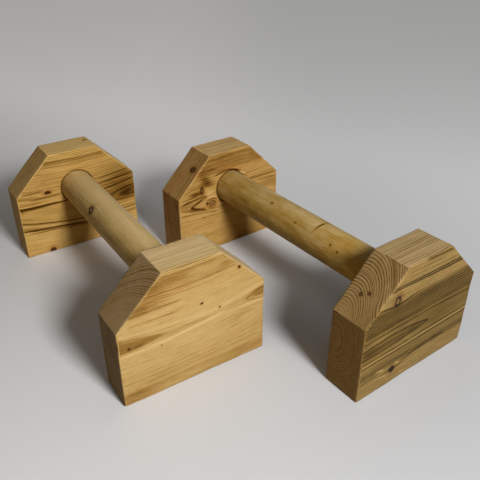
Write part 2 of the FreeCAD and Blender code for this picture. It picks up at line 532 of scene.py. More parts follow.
def partRings(spot):  # rings part round knots; gives how near one is, in knot sizes, and pale hearts
    nearest = None
    heart = None
    wobble = grainNoise(spot, "knotEdge", spot.place) * spot.board["knotRough"] + 1
    for branch in spot.board["knots"]:
        middle = [float(along) for along in branch["at"]]
        axis = Vector(branch.get("axis", (0.0, 1.0, 0.0))).normalized()
        off = [along - centre for along, centre in zip(spot.place, middle)]
        reach = branch["size"] * branch.get("reach", knotLook["reach"])
        pull = nodeMath(spot.tree, "EXPONENT", offAxis(off, axis, knotLook["pullLong"]) * (-1 / reach ** 2))
        if not spot.dowel:
            pull = pull * (1 - off[1].math("ABSOLUTE").rise(*knotLook["pullDepth"]))
        own = ringRadius(spot.board, *middle)[0]
        spot.radius = spot.radius + (own - spot.radius) * pull
        core = offAxis(off, axis, branch.get("long", 1.0)).root() * wobble / branch["size"]
        nearest = core if nearest is None else nodeMath(spot.tree, "MINIMUM", nearest, core)
        if "heart" in branch:
            pale = (1 - core.rise(*branch.get("heartEdge", knotLook["heartEdge"]))) * branch["heart"]
            heart = pale if heart is None else heart + pale
    return nearest, heart


def knotColour(spot, nearest, heart, colour):  # a warm halo, dark bark and a paler heart laid over
    board = spot.board
    halo = 1 - nearest.rise(*knotLook["halo"])
    colour = mixed(spot.tree, halo * knotLook["haloShare"], colour, shade(*board["knotHalo"]), "MULTIPLY")
    bark = 1 - nearest.rise(*knotLook["bark"])
    colour = mixed(spot.tree, bark * knotLook["barkShare"], colour, shade(*board["knotRim"]))
    if heart is None:
        return colour
    return mixed(spot.tree, nodeMath(spot.tree, "MINIMUM", heart, 1), colour, shade(*board["knotHeart"]))


ringLook = {
    "listReach": 110, "pithBlend": (-3, 3),  # radius where the lists end, and how they meet
    "topCalm": 0.85, "arrisCalm": 0.9, "upperCalm": 0.82, "arrisRings": 0.85,  # how far rings fade there
    "livelySwing": 1.6, "livelyMean": 0.8,
    "topStray": 1.6, "topLeast": 0.2,
    "endStray": 1.5, "endEdges": (0.45, 0.85), "endLeast": 0.1,
    "mouthRadius": 23.6, "mouthWidth": 0.9, "mouthDepth": (0.5, 2.0),
}


def broadRings(spot):  # tone by distance from the pith, from one list above it and one below
    board, look = spot.board, ringLook
    reach = look["listReach"]
    lists = ([(radius / reach, float(tone)) for radius, tone in board[half]] for half in ("above", "below"))
    above, below = (ramp(spot.tree, spot.radius / reach, stops) for stops in lists)
    upper = spot.fromPith[2].rise(*look["pithBlend"])
    tone = below * (1 - upper) + above * upper
    tone = (tone - board["mid"]) * (1 - board["endCalm"] * spot.cut)
    tone = tone * (1 - look["topCalm"] * spot.onTop) * (1 - look["arrisCalm"] * spot.arris)
    return tone + board["mid"]


def fineRings(spot, tone):  # thin dark lines at even steps of radius, and straight lines on the top
    tree, board, look, radius = spot.tree, spot.board, ringLook, spot.radius
    spacing = 1 / board["ringWidth"]
    if not spot.dowel:  # the end grain has a width of its own
        spacing = spot.endGrain.rise(*surfaces["endRings"]) * (1 / board["endWidth"] - spacing) + spacing
    more, first, last = board["ringExtra"]  # so many more rings between two radii
    count = radius * spacing + grainNoise(spot, "ringStray", (radius, 0.0, 0.0)) * board["ringStray"]
    count = count + radius.rise(first, last) * more
    late = darkLines(tree, count, board["ringLine"], board["ringLeast"], board["seed"])
    lively = grainNoise(spot, "lively", spot.fromPith) * look["livelySwing"] + look["livelyMean"]
    depth = spot.cut * (board["endRing"] - board["ringDepth"]) + board["ringDepth"]
    shown = 1 - spot.onFace * (1 - radius.rise(*board["ringFrom"]))
    shown = shown * (1 - spot.cut * spot.slope * (1 - radius.rise(*board["slopeFrom"])))
    if "calmAbove" in board:
        shown = shown * (1 - spot.onFace * spot.height.rise(*board["calmAbove"]) * look["upperCalm"])
    if not spot.dowel:
        width, dark = board["topLines"]
        lines = spot.d / width + grainNoise(spot, "topLine", (spot.u, spot.d, 0.0)) * look["topStray"]
        lines = darkLines(tree, lines, board["ringLine"], look["topLeast"], board["seed"])
        tone = tone - lines * spot.onTop * dark
        shown = shown * (1 - spot.onTop) * (1 - spot.arris * look["arrisRings"])
    return tone - late * depth * lively * shown


def endRings(spot, tone):  # flat rings on the end grain, and the dark ring where the dowel enters: partly glue line, partly painted shade in the gap
    board, look = spot.board, ringLook
    for way in board["endLines"]:
        lines = (spot.d * way["deep"] + spot.z * way["up"]) / way["width"]
        lines = lines + grainNoise(spot, "endLine", (0.0, spot.d, spot.z)) * look["endStray"]
        lines = darkLines(spot.tree, lines, look["endEdges"], look["endLeast"], board["seed"])
        tone = tone - spot.cut * lines * way["depth"]
    # painted shade in the socket's gap, with the glue line
    if board["mouth"]:
        ring = (spot.u.squared() + (spot.z - barMiddle.z).squared()).root() - look["mouthRadius"]
        tone = tone - ring.bell(look["mouthWidth"]) * board["mouth"] * (1 - spot.d.rise(*look["mouthDepth"]))
    return tone


drawnLook = {"bandSpan": 145.0, "bandMiddle": 0.5, "fade": 8, "soft": 2, "ripple": 0.6}


def drawnMarks(spot):  # bands by height, lines as bells about a curve, and spots as bells both ways
    board, look, u = spot.board, drawnLook, spot.u
    span, middle = look["bandSpan"], look["bandMiddle"]
    lowest = -span / 2 if spot.dowel else 0.0
    stops = [((height - lowest) / span, tone + middle) for height, tone in board["bands"]]
    drawn = ramp(spot.tree, (spot.height + spot.swayUp - lowest) / span, stops) - middle
    for line in board["strokes"]:
        level, lean, bow = line["curve"]
        first, last = line["span"]
        fade = line.get("fade", look["fade"])
        mask = spot.height + spot.ripple * look["ripple"] - (u.squared() * bow + u * lean + level)
        mask = mask.bell(line["width"]) * u.rise(first - look["soft"], first + fade)
        drawn = drawn + mask * (1 - u.rise(last - fade, last + look["soft"])) * line["tone"]
    for mark in board["patches"]:
        across, height = mark["at"]
        wide, tall = mark["size"]
        lift = spot.height + spot.ripple - height
        mask = (u - across + lift * mark.get("skew", 0.0)).bell(wide) * lift.bell(tall)
        drawn = drawn + mask * mark["tone"]
    return drawn


timberLook = {
    "streakEdge": (0.1, 0.28), "endFibre": 0.6, "bleachedLift": 0.45,
    "toneReach": 1.3, "driftShift": 7, "blushEdge": (-0.05, 0.25), "mossEdge": (0.0, 0.25),
    "paintedSheenColour": (184, 158, 122), "poreSwing": 0.6, "poreMean": 0.9,
    "toneShine": 0.08, "fibreShine": 0.18, "endShine": 0.12, "specular": 0.06, "sheen": 0.03,
    "sheenRoughness": 0.4, "reliefShare": 0.5, "relief": 0.25,
}


def litAndSandedTone(spot, tone):  # painted light on the top, cut corners and sides, a painted reflection on the right cut corner, sanded wear with a painted highlight on the edges, and stripes along the top
    board = spot.board
    # the rounded edges: sanded wear and a painted highlight
    ridge = spot.upward.rise(*surfaces["ridgeFrom"]) * (1 - spot.upward.rise(*surfaces["ridgeTo"]))
    ridge = ridge * (1 - spot.endGrain.rise(*surfaces["arrisFrom"]))
    edge = spot.arris + ridge * board["ridge"]
    # painted light makes the top paler; its stripes are grain
    stripe = grainNoise(spot, "topStripe", (spot.u, spot.d, 0.0)) * board["topStripe"]
    tone = tone + spot.onTop * (stripe + board["topPaintedLight"]) + edge * board["edgeWearAndHighlight"]
    # painted light on the cut corners and sides
    paintedEndLight = spot.slope * board["slopePaintedLight"] + (1 - spot.slope) * board["sidePaintedLight"]
    # and a painted reflection on the right cut corner
    return tone + spot.cut * paintedEndLight + spot.bleached * timberLook["bleachedLift"]


def timberColour(spot, tone):  # the palette by tone, drifting, greyed on top by painted sheen, and darker on the end grain, partly its own stain and partly painted shade
    tree, board, look = spot.tree, spot.board, timberLook
    stops = [(place / look["toneReach"], shade(*levels)) for place, levels in board["palette"]]
    colour = ramp(tree, tone / look["toneReach"], stops)
    drift = grainNoise(spot, "drift", spot.place, look["driftShift"])
    warm = drift.rise(*look["blushEdge"]) * board["warmth"]
    colour = mixed(tree, warm, colour, shade(*board["blush"]), "MULTIPLY")
    green = (0 - drift).rise(*look["mossEdge"]) * board["warmth"]
    colour = mixed(tree, green, colour, shade(*board["moss"]), "MULTIPLY")
    # painted sheen greys the top
    if not spot.dowel:
        colour = mixed(tree, spot.onTop * board["topPaintedSheen"], colour, shade(*look["paintedSheenColour"]))
    pores = grainNoise(spot, "pores", spot.place)
    # the end grain darker: partly its own stain, partly painted shade
    endStainAndShade = (pores * look["poreSwing"] + look["poreMean"]) * spot.cut * (1 - spot.bleached)
    return mixed(tree, endStainAndShade, colour, shade(*board["endTint"]), "MULTIPLY")


def timber(name, board, bar, start, dowel=False):  # rings, marks and fibres make a tone, then a colour
    material, tree = newTree(name)
    look = timberLook
    spot = boardSpot(tree, board, bar, start, dowel)
    nearest, heart = partRings(spot)
    tone = endRings(spot, fineRings(spot, broadRings(spot)))
    tone = tone + drawnMarks(spot) * spot.onFace

    # fibres: long streaks, short hairs and sparse dark lines, all along the grain
    kinds = ("fibre", "hair", "mottle", "streak")
    fibre, hair, mottle, streak = (grainNoise(spot, kind, spot.fromPith) for kind in kinds)
    along = 1 - look["endFibre"] * spot.cut
    tone = tone + (fibre * board["fibre"] + hair * board["hair"]) * along + mottle * board["mottle"]
    tone = tone - streak.rise(*look["streakEdge"]) * board["streak"] * along
    if not dowel:
        tone = litAndSandedTone(spot, tone)
    colour = knotColour(spot, nearest, heart, timberColour(spot, tone))
    shine = board["roughness"] - tone * look["toneShine"] + fibre * look["fibreShine"]
    share = look["reliefShare"]
    relief = raised(tree, tone * share + fibre * share + hair * share, look["relief"])
    dress(tree, {"Base Color": colour, "Roughness": shine + look["endShine"] * spot.cut, "Normal": relief,
                 "Specular IOR Level": look["specular"], "Sheen Weight": look["sheen"],
                 "Sheen Roughness": look["sheenRoughness"]})
    return material


def stroke(tone, width, *points, **more):  # a line through two points (u, height), a parabola by three
    across, height = np.array(points, float).T
    curve = np.polyfit(across, height, len(points) - 1)[::-1].tolist() + [0.0]
    return {"tone": tone, "width": width, "span": (across.min(), across.max()), "curve": curve[:3], **more}


def patch(tone, size, at, **more):  # a darker or paler spot about a place (u, height)
    return {"tone": tone, "size": size, "at": at, **more}


def knot(size, at, **more):  # a knot through a place (u, d, z)
    return {"size": size, "at": at, **more}


# The boards: above and below list (radius, tone), bands (height, tone), palettes (tone, colour)
# A pair such as ringFrom gives where a change starts and where it is complete.

# On the blocks the top, cut corner and side lifts, the top's grey and the right corner's pale are painted
# light, sheen and reflection; the edge lift is sanded wear with a painted highlight.
plainBoard = {
    "oval": 1.0, "bowCentre": 0.0, "depthBow": 0.0, "heightBow": 0.0, "depthLean": 0.0, "heightLean": 0.0,
    "ringExtra": (0, 0, 1), "ringLine": (0.35, 0.8), "ringLeast": 0.2, "ringStray": 2.4, "ringFrom": (0, 1),
    "slopeFrom": (200, 201), "endLines": [], "mouth": 0.0, "rightPaintedReflection": 0.0, "roughness": 0.55,
}
goldenBoard = {  # left bar, near block: its outer face is tangent to the rings near the heart
    **plainBoard,
    "seed": 3.1, "swayDeep": 2.0, "swayUp": 3.0, "ripple": 1.2, "pithDepth": -12.0, "pithHeight": 74.5,
    "bowCentre": 12.0, "depthBow": 0.0006, "heightBow": 0.0006, "heightLean": 0.035,
    "ringWidth": 2.4, "endWidth": 1.9, "ringDepth": 0.26, "endRing": 0.62, "endCalm": 0.5, "mid": 0.58,
    "ringFrom": (26, 52), "slopeFrom": (34, 46), "topLines": (6.0, 0.3), "topStripe": 0.6, "topPaintedSheen": 0.12,
    "fibre": 0.36, "hair": 0.3, "mottle": 0.16, "streak": 0.14, "knotRough": 1.3, "rightPaintedReflection": 1.0,
    "topPaintedLight": 0.31, "slopePaintedLight": 0.2, "sidePaintedLight": 0.06, "edgeWearAndHighlight": 0.06, "ridge": 1.5,
    "above": [
        (0, 0.2), (9.9, 0.26), (10.5, 0.54), (12.4, 0.56), (13.2, 0.74), (15.5, 0.6), (24, 0.6),
        (34, 0.58), (46, 0.56), (53, 0.52), (58, 0.56), (66, 0.5), (70.1, 0.62), (70.7, -0.1),
        (71.5, -0.1), (72.2, 0.62), (74, 0.6), (74.6, 0.32), (76, 0.66), (84.5, 0.66), (85.5, 0.44),
        (86.5, 0.64), (110, 0.6),
    ],
    "below": [
        (0, 0.2), (9.9, 0.26), (10.5, 0.54), (12.4, 0.56), (13.2, 0.74), (15.5, 0.6), (30, 0.6),
        (44, 0.58), (58, 0.6), (72, 0.56), (110, 0.56),
    ],
    "knots": [
        knot(1.5, (-73.6, 0, 72.2)), knot(1.3, (7.8, 0, 93), axis=(-0.2, 1, -0.2), long=1.3),
        knot(1.1, (28.8, 0, 80)), knot(1.9, (52.8, 0, 120.8), axis=(-0.2, 1, 0.1)),
        knot(0.7, (-39.4, 0, 61)),
    ],
    "bands": [
        (0, -0.03), (6, 0.03), (12, -0.03), (18, 0.01), (30, 0.03), (100, 0.02), (122, 0.0), (130, -0.05),
        (138, -0.02), (145, -0.06),
    ],
    "strokes": [
        stroke(-0.2, 0.8, (-75, 97), (-22, 95.5)), stroke(-0.24, 1.3, (-76, 107.5), (-14, 107)),
        stroke(-0.12, 1.3, (-72, 72.5), (-56, 72)), stroke(-0.12, 1.0, (-40, 139), (30, 140)),
        stroke(-0.12, 1.0, (-60, 21), (80, 24)), stroke(-0.12, 1.2, (-84, 14), (70, 15)),
        stroke(-0.1, 0.9, (20, 100), (84, 103)), stroke(0.14, 1.4, (-84, 82.5), (-15, 77), (70, 86.5)),
        stroke(0.14, 1.4, (-84, 64), (-10, 66.5), (36, 73.5)),
        stroke(-0.08, 2.2, (-35, 70.5), (18, 73.5)),
        stroke(-0.18, 1.2, (62, 76.5), (71, 82.6), (87, 86.2), fade=2),
        stroke(-0.16, 1.2, (62, 75.8), (71, 73.1), (87, 71.8), fade=2),
        stroke(0.14, 1.2, (50, 82), (68, 86), (87, 88.6)), stroke(0.12, 1.4, (50, 70.3), (87, 68.5)),
    ],
    "patches": [
        patch(-0.34, (24, 5.5), (-66, 112)), patch(-0.16, (16, 10), (-46, 126)),
        patch(-0.2, (22, 3.5), (-26, 134)), patch(-0.15, (6, 3), (36, 133)),
        patch(-0.16, (26, 9), (-72, 10)), patch(-0.1, (30, 7), (60, 8)), patch(-0.06, (40, 60), (70, 60)),
        patch(0.06, (12, 4.5), (80, 79)),
    ],
    "palette": [
        (0.0, (84, 60, 24)), (0.3, (146, 110, 55)), (0.6, (187, 156, 101)), (1.0, (214, 186, 136)),
        (1.3, (225, 199, 154)),
    ],
    "warmth": 0.3, "blush": (255, 232, 205), "moss": (240, 240, 205), "endTint": (172, 166, 178),
    "knotHalo": (220, 180, 130), "knotRim": (58, 32, 8),
}
brownBoard = {  # right bar, near block: dark heartwood, its pith inside the block
    **plainBoard,
    "seed": 8.4, "swayDeep": 0.2, "swayUp": 2.2, "ripple": 1.8, "pithDepth": 37.78, "pithHeight": 62.5,
    "oval": 1.6, "bowCentre": -40.0, "depthBow": 0.00002,
    "ringWidth": 1.9, "endWidth": 2.6, "ringDepth": 0.8, "endRing": 0.78, "endCalm": 0.8, "mid": 0.58,
    "ringExtra": (1.6, 60.5, 68), "ringLine": (0.5, 0.84), "ringLeast": 0.45, "ringStray": 0.8,
    "ringFrom": (60.9, 61.9), "slopeFrom": (32, 52), "calmAbove": (106, 113),
    "topLines": (2.9, 0.8), "topStripe": 0.28, "topPaintedSheen": 0.22,
    "fibre": 0.4, "hair": 0.3, "mottle": 0.1, "streak": 0.06, "knotRough": 1.1,
    "topPaintedLight": 0.21, "slopePaintedLight": 0.22, "sidePaintedLight": 0.12, "edgeWearAndHighlight": 0.12, "ridge": 0.0,
    "above": [
        (0, 0.62), (40, 0.62), (60.9, 0.7), (63.6, 0.72), (64.1, 0.4), (64.6, 0.68), (76, 0.66),
        (77, 0.7), (84.2, 0.72), (84.8, 0.0), (85.6, 0.0), (86.1, 0.7), (86.5, 0.7), (87.0, 0.1),
        (87.6, 0.1), (88.3, 0.64), (110, 0.6),
    ],
    "below": [
        (0, 0.62), (40, 0.62), (60.9, 0.7), (62.5, 0.68), (62.9, 0.95), (63.4, 0.3), (64, 0.66),
        (66.4, 0.66), (68.4, 0.45), (69.2, 0.62), (70.2, 0.4), (71, 0.7), (110, 0.68),
    ],
    "knots": [
        knot(6.8, (-43.6, 0, 110.5), heart=0.7, axis=(-0.1, 1, -0.15), long=0.66, reach=1.5),
        knot(4.5, (-35, 0, 19), axis=(0.1, 1, 0.1), reach=2.0),
        knot(1.9, (-65.7, 27.5, 112.8), heart=0.5, axis=(-0.7, 0.1, 0.7), reach=0.3),
        knot(1.9, (-62.3, 20.2, 116.2), heart=0.5, axis=(-0.7, 0.1, 0.7), reach=0.3),
    ],
    "bands": [
        (0, 0.0), (12, 0.04), (24, 0.0), (27, -0.05), (36, -0.05), (43, -0.06), (47, -0.04), (56, -0.18),
        (75, -0.21), (86, -0.24), (100, -0.25), (106, -0.2), (109, -0.03), (121, -0.03), (128, 0.03),
        (133, 0.08), (145, 0.04),
    ],
    "strokes": [
        stroke(-0.3, 1.4, (-84, 22), (-56, 23.5)), stroke(-0.3, 1.4, (-27, 20), (0, 27), (50, 27.5)),
        stroke(0.35, 1.3, (-62, 28), (-48, 25.5), fade=3), stroke(-0.35, 1.5, (-8, 143.4), (36, 142.2)),
        stroke(-0.22, 0.7, (-36, 133.5), (46, 130.5)), stroke(-0.2, 0.7, (-34, 138), (24, 136.5)),
        stroke(-0.55, 0.9, (-88, 65), (-20, 67.6), (14, 62), fade=2),
        stroke(-0.42, 0.9, (-88, 55), (-36, 56), (14, 61.5), fade=2),
        stroke(-0.2, 4.0, (-88, 60), (-30, 61.5), (6, 61.5), fade=12),
    ],
    "patches": [
        patch(-0.12, (34, 14), (34, 62)), patch(-0.12, (17, 4.5), (-80, 60)),
        patch(-0.08, (40, 6), (10, 102)), patch(0.06, (18, 13), (-70, 38)),
        patch(0.13, (17, 5), (-62, 73)), patch(0.35, (3, 1.6), (-29, 25)),
    ],
    "palette": [
        (0.0, (42, 30, 7)), (0.25, (74, 55, 18)), (0.5, (111, 89, 45)), (0.75, (149, 123, 76)),
        (1.0, (191, 164, 116)), (1.3, (211, 186, 142)),
    ],
    "warmth": 0.25, "blush": (255, 232, 210), "moss": (240, 240, 200), "endTint": (234, 224, 230),
    "knotHalo": (205, 170, 130), "knotRim": (18, 9, 3), "knotHeart": (138, 108, 66),
}
stripedBoard = {  # left bar, far block
    **plainBoard,
    "seed": 5.7, "swayDeep": 0.5, "swayUp": 2.0, "ripple": 1.5, "pithDepth": 60.0, "pithHeight": 60.0,
    "heightBow": 0.00095, "depthLean": -0.019, "heightLean": -0.0275,
    "ringWidth": 1.9, "endWidth": 1.9, "ringDepth": 0.44, "endRing": 0.3, "endCalm": 0.6, "mid": 0.6,
    "ringExtra": (0.8, 59, 68), "ringLine": (0.45, 0.82), "ringLeast": 0.18, "ringStray": 1.2,
    "topLines": (5.0, 0.4), "topStripe": 0.5, "topPaintedSheen": 0.0,
    "fibre": 0.36, "hair": 0.26, "mottle": 0.18, "streak": 0.14, "knotRough": 1.5, "rightPaintedReflection": 1.0,
    "topPaintedLight": 0.31, "slopePaintedLight": 0.3, "sidePaintedLight": 0.42, "edgeWearAndHighlight": 0.16, "ridge": 0.5, "mouth": 0.5,
    "endLines": [{"deep": 1.0, "up": 0.12, "width": 6.5, "depth": 0.6}],
    "above": [
        (0, 0.55), (50, 0.58), (58.9, 0.55), (59.2, 0.15), (59.5, 0.62), (61.5, 0.62), (61.85, 0.1),
        (62.2, 0.64), (65.4, 0.6), (65.8, 0.2), (66.2, 0.62), (69.4, 0.58), (69.8, 0.15), (70.2, 0.62),
        (72, 0.56), (78, 0.58), (80, 0.64), (82.5, 0.6), (82.9, 0.32), (83.3, 0.64), (89.0, 0.6),
        (89.4, 0.36), (89.9, 0.62), (93.6, 0.42), (95.4, 0.42), (97, 0.64), (110, 0.62),
    ],
    "below": [
        (0, 0.55), (50, 0.58), (58.9, 0.55), (59.2, 0.15), (59.5, 0.62), (62.7, 0.62), (63.2, -0.1),
        (63.7, 0.62), (65.5, 0.6), (65.9, 0.0), (66.3, 0.58), (66.7, 0.58), (67.1, 0.15), (67.5, 0.64),
        (74, 0.68), (80, 0.64), (110, 0.55),
    ],
    "knots": [
        knot(2.6, (-42.5, 0, 92.5), long=1.9, axis=(0.1, 1, 0.1), reach=2.4),
        knot(4.4, (-49, 0, 2.5), axis=(0, 1, 0.1), heart=0.25),
        knot(2.2, (28, 30, 145), axis=(0, 0.1, 1), reach=1.0),
    ],
    "bands": [
        (0, 0.1), (40, 0.08), (52, 0.04), (60, -0.02), (70, -0.02), (80, 0.03), (92, 0.03), (100, 0.04),
        (114, 0.03), (118, 0.06), (124, 0.06), (131, -0.02), (135, 0.0), (139, 0.1), (145, 0.06),
    ],
    "strokes": [
        stroke(-0.2, 0.9, (30, 95), (84, 102)), stroke(-0.3, 1.0, (40, 78), (84, 85)),
        stroke(-0.2, 0.9, (35, 88), (84, 93)), stroke(-0.25, 1.0, (-70, 86), (-25, 87)),
        stroke(-0.5, 1.1, (-88, 42), (-40, 38), (2, 33), fade=5),
        stroke(-0.3, 0.9, (-88, 36.5), (-36, 34.5)), stroke(-0.42, 1.1, (-88, 76.5), (-28, 75)),
        stroke(-0.3, 0.9, (-88, 81), (-50, 80.5)), stroke(-0.35, 1.0, (-80, 96), (-46, 97)),
    ],
    # the two dark spots right of the dowel are painted shade
    "patches": [patch(-0.36, (34, 26), (66, 80)), patch(-0.12, (10, 8), (70, 62))],
    "palette": [
        (0.0, (72, 45, 9)), (0.3, (138, 101, 42)), (0.6, (196, 155, 86)), (1.0, (232, 195, 125)),
        (1.3, (242, 210, 148)),
    ],
    "warmth": 0.3, "blush": (255, 230, 195), "moss": (240, 240, 195), "endTint": (196, 190, 188),
    "knotHalo": (210, 160, 110), "knotRim": (52, 30, 8), "knotHeart": (130, 70, 40),
}
knottyBoard = {  # right bar, far block
    **plainBoard,
    "seed": 1.3, "swayDeep": 1.5, "swayUp": 3.0, "ripple": 2.0, "pithDepth": 38.0, "pithHeight": 79.0,
    "depthLean": -0.03,
    "ringWidth": 2.3, "endWidth": 2.3, "ringDepth": 0.3, "endRing": 0.25, "endCalm": 0.6, "mid": 0.58,
    "topLines": (5.0, 0.45), "topStripe": 0.8, "topPaintedSheen": 0.1,
    "fibre": 0.32, "hair": 0.26, "mottle": 0.24, "streak": 0.12, "knotRough": 1.1,
    "topPaintedLight": 0.33, "slopePaintedLight": 0.11, "sidePaintedLight": 0.16, "edgeWearAndHighlight": 0.16, "ridge": 0.4, "mouth": 0.7,
    "endLines": [{"deep": 1.0, "up": -0.1, "width": 7.0, "depth": 0.25}],
    "above": [
        (0, 0.56), (30, 0.58), (44, 0.6), (52, 0.6), (60, 0.5), (64, 0.42), (68, 0.52), (71, 0.42),
        (75, 0.55), (110, 0.55),
    ],
    "below": [(0, 0.56), (30, 0.58), (50, 0.62), (70, 0.62), (110, 0.55)],
    "knots": [
        knot(5.8, (-48, 0, 98.4), heart=0.6, axis=(0.1, 1, 0.1), long=0.55, reach=1.2),
        knot(4.8, (-31.4, 0, 74.8), heart=0.85, heartEdge=(0.55, 0.95), long=1.2, reach=1.4),
        knot(2.2, (-39.5, 0, 76), reach=1.0),
        knot(5.2, (-52.6, 13, 126), heart=0.3, axis=(-0.7, 0, 0.7), long=0.7, reach=0.5),
    ],
    "bands": [
        (0, 0.0), (40, 0.06), (70, 0.04), (90, 0.02), (118, 0.02), (124, -0.1), (130, -0.03), (137, -0.1),
        (145, -0.04),
    ],
    "strokes": [
        stroke(-0.6, 0.9, (-26, 113.5), (-6, 118), (12, 114.5), fade=3),
        # beside the crack, the pale stroke is a painted highlight on a tear-out
        stroke(-0.5, 0.9, (8, 115), (19, 111.5), fade=3), stroke(0.4, 1.6, (15, 110), (27, 104), fade=4),
        stroke(-0.3, 1.0, (18, 108), (30, 100), fade=4),
        stroke(-0.45, 1.2, (-80, 84.5), (-62.7, 87.4), (-48, 89), fade=4),
        stroke(-0.3, 1.0, (-82, 90), (-54, 92)), stroke(-0.3, 1.0, (30, 94), (84, 94)),
        stroke(-0.2, 1.0, (45, 88), (84, 87)),
        stroke(-0.52, 1.9, (-67, 76.5), (-56.6, 81), (-46, 85), fade=4),
        stroke(-0.52, 1.9, (-67, 76.5), (-55, 72), (-42, 68.6), fade=4),
        stroke(-0.3, 1.0, (-86, 68.2), (-52, 64.9), (-20, 59)),
        stroke(-0.35, 1.0, (-39, 79.5), (-31, 82), (-23, 78.5), fade=3),
        stroke(0.25, 1.0, (-42, 82.5), (-33, 85), (-24, 82), fade=3),
        stroke(-0.25, 1.2, (-60, 125), (-20, 124)),
        stroke(-0.3, 1.0, (-39, 71), (-31, 68), (-23, 71), fade=3),
    ],
    "patches": [
        patch(-0.44, (8, 9), (-40.5, 110), skew=0.5), patch(-0.55, (10, 3.2), (-58, 95.5)),
        patch(0.22, (6, 6), (-36, 92)), patch(-0.28, (3.5, 5), (-43.5, 87.5), skew=0.5),
        patch(-0.4, (2, 1.2), (-46.4, 56.3)),
    ],
    "palette": [
        (0.0, (70, 41, 9)), (0.3, (133, 95, 40)), (0.6, (186, 146, 82)), (1.0, (220, 184, 122)),
        (1.3, (232, 200, 142)),
    ],
    "warmth": 0.35, "blush": (255, 226, 196), "moss": (240, 240, 200), "endTint": (208, 198, 206),
    "knotHalo": (215, 170, 120), "knotRim": (50, 27, 6), "knotHeart": (146, 104, 54),
}
paleDowel = {  # left bar's grip: z goes up from its axis, heights run on the arc from its top
    **plainBoard,
    "seed": 2.2, "swayDeep": 3.0, "swayUp": 3.0, "ripple": 1.0, "pithDepth": -60.0, "pithHeight": -10.0,
    "depthLean": 0.02, "heightLean": 0.01,
    "ringWidth": 2.4, "ringDepth": 0.14, "endRing": 0.14, "endCalm": 0.0, "mid": 0.6, "slopeFrom": (0, 1),
    "fibre": 0.34, "hair": 0.26, "mottle": 0.24, "streak": 0.12, "knotRough": 1.3, "roughness": 0.5,
    "above": [(0, 0.76), (110, 0.76)], "below": [(0, 0.76), (110, 0.76)],
    "knots": [knot(5.6, (41, -18.6, 12.5), heart=0.5, axis=(0.1, -0.83, 0.56))],
    # the darker bands from -45 to -14, down the grip's left side, are painted shade
    "bands": [(-72, 0.08), (-45, -0.06), (-28, -0.33), (-14, -0.13), (-4, 0.0), (72, -0.1)],
    "strokes": [], "patches": [],
    "palette": [
        (0.0, (90, 66, 32)), (0.3, (150, 118, 62)), (0.6, (200, 168, 107)), (1.0, (228, 202, 150)),
        (1.3, (226, 206, 164)),
    ],
    "warmth": 0.25, "blush": (255, 234, 208), "moss": (240, 242, 208), "endTint": (214, 196, 170),
    "knotHalo": (200, 155, 105), "knotRim": (20, 11, 4), "knotHeart": (165, 128, 82),
}
oliveDowel = {  # right bar's grip
    **paleDowel,
    "seed": 6.6, "pithDepth": -40.0, "pithHeight": 20.0, "mottle": 0.55, "hair": 0.28,
    "knotRim": (104, 64, 22), "knotHalo": (225, 190, 140),
    "knots": [
        knot(1.5, (40, -10.9, 19.7), axis=(0, -0.48, 0.87), long=1.6),
        knot(1.2, (-10, -16.2, 15.6), axis=(0, -0.72, 0.69)),
        knot(1.4, (-71, -17.2, 14.5), axis=(0, -0.77, 0.64)),
        knot(1.4, (-84, -19.1, 11.9), axis=(0, -0.85, 0.53)),
    ],
    "bands": [(-72, -0.12), (-45, -0.02), (-25, -0.12), (-14, -0.09), (-4, -0.02), (8, -0.02), (72, -0.1)],
    "strokes": [stroke(-0.3, 0.7, (-66, -31), (-40, -29)), stroke(-0.25, 0.7, (-72, -34), (-44, -33))],
    "patches": [
        patch(-0.9, (1.3, 9), (-41.3, -4), skew=0.12), patch(0.12, (5, 7), (-36, -2)),
        patch(-0.16, (14, 5), (105, -12)), patch(-0.14, (16, 8), (-100, -20)),
        patch(-0.16, (9, 6), (84, -26)),
    ],
    "palette": [
        (0.0, (72, 46, 11)), (0.3, (129, 93, 33)), (0.6, (170, 135, 64)), (1.0, (210, 187, 137)),
        (1.3, (220, 196, 142)),
    ],
}
blocks = {  # bar and end, with the board, which way the block looks and its slot
    ("left_bar", "near_block"): (goldenBoard, -1, "golden_timber"),
    ("left_bar", "far_block"): (stripedBoard, 1, "honey_timber"),
    ("right_bar", "near_block"): (brownBoard, -1, "brown_timber"),
    ("right_bar", "far_block"): (knottyBoard, 1, "honey_timber"),
}
dowels = {"left_bar": paleDowel, "right_bar": oliveDowel}


def visualName(bar, part):
    return "visual_" + bar.replace("_bar", "Bar") + "_" + part


for (bar, part), (board, end, slotName) in blocks.items():
    frontFace = innerFace if end > 0 else -innerFace - blockSize.y
    finish = timber(slotName + "_" + bar + "_" + part, board, bar, frontFace)
    addPiece(visualName(bar, part), bar, blockInBar(blockRows(board["seed"]), end), finish)
for bar, board in dowels.items():
    finish = timber("dowel_timber_" + bar, board, bar, 0.0, dowel=True)
    addPiece(visualName(bar, "grip_dowel"), bar, dowelRows(board["seed"]), finish)


# Screws and glue lines keep their own solids

zincLook = {
    "turnedScale": 6.0, "turnedUp": 2.0, "grainScale": 1.4, "grainRoughness": 0.7,
    "fineShare": 0.4, "middle": 0.5, "metallic": 1.0,
    "colours": [(0.2, (122, 96, 44)), (0.5, (190, 158, 88)), (0.85, (214, 190, 128))],
    "grainShine": 0.3, "turnedShine": 0.2, "roughness": 0.36, "relief": 0.05,
}
glueLook = {
    "cloudScale": 0.3, "lumpScale": 1.5, "fineShare": 0.4, "middle": 0.5, "metallic": 0.0,
    "colours": [(0.25, (92, 62, 22)), (0.6, (140, 102, 46)), (0.9, (172, 136, 74))],
    "cloudShine": 0.2, "roughness": 0.4, "relief": 0.1,
}


